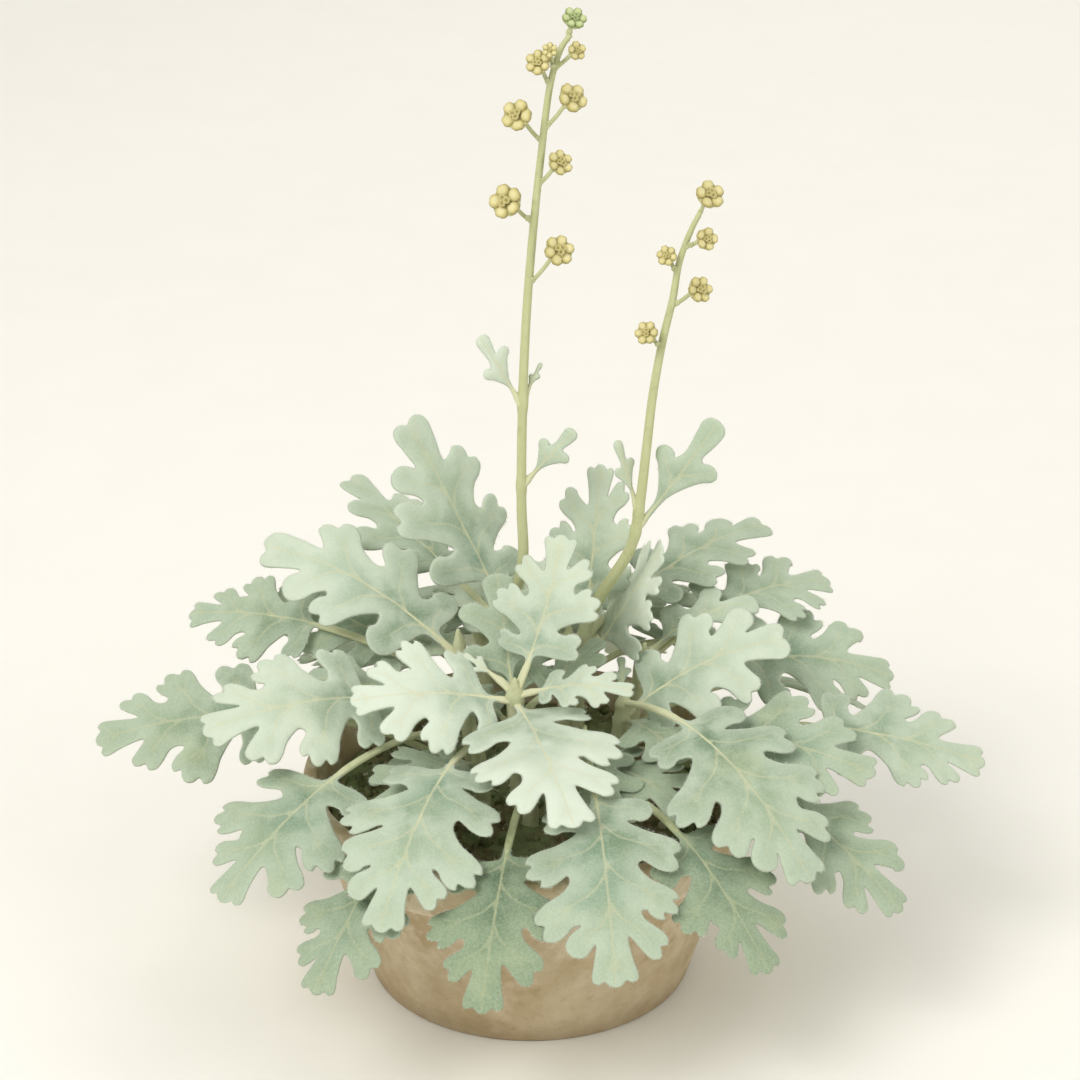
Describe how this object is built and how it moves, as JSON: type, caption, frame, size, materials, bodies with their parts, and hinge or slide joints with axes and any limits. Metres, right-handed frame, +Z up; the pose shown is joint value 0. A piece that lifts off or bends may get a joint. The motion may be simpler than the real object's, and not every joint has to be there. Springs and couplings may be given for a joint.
{
  "type": "potted beach wormwood plant",
  "caption": "Low felted silver-leaved plant with lobed leaves and slender stalks of small round heads, growing in a clay pan filled with soil.",
  "frame": {"origin": "middle of the pan's base, on the surface it stands on", "axes": "+Z up along the stems, -Y towards the front of the plant, +X to the right seen from the front"},
  "size_m": [0.2919, 0.2388, 0.3219],
  "materials": {
    "clay": "matt unglazed clay",
    "earth": "crumbly sandy compost with a film of moss",
    "felted_leaf": "silver-green felt of fine hairs",
    "ochre_head": "matt ochre florets",
    "green_bud": "matt grey-green felt"
  },
  "bodies": {
    "root": {"pot": "clay", "soil": "earth", "heart_shoot": "felted_leaf", "front_shoot": "felted_leaf", "front_right_shoot": "felted_leaf", "front_left_shoot": "felted_leaf", "left_shoot": "felted_leaf", "right_shoot": "felted_leaf", "back_left_shoot": "felted_leaf", "far_right_shoot": "felted_leaf", "rear_left_shoot": "felted_leaf", "rear_right_shoot": "felted_leaf", "tall_flowering_shoot": "felted_leaf", "short_flowering_shoot": "felted_leaf", "tall_stalk_head_1": "ochre_head", "tall_stalk_head_2": "ochre_head", "tall_stalk_head_3": "ochre_head", "tall_stalk_head_4": "ochre_head", "tall_stalk_head_5": "ochre_head", "tall_stalk_head_6": "ochre_head", "tall_stalk_head_7": "ochre_head", "tall_stalk_head_8": "ochre_head", "tall_stalk_head_9": "green_bud", "short_stalk_head_1": "ochre_head", "short_stalk_head_2": "ochre_head", "short_stalk_head_3": "ochre_head", "short_stalk_head_4": "ochre_head", "short_stalk_head_5": "ochre_head"}
  },
  "joints": []
}
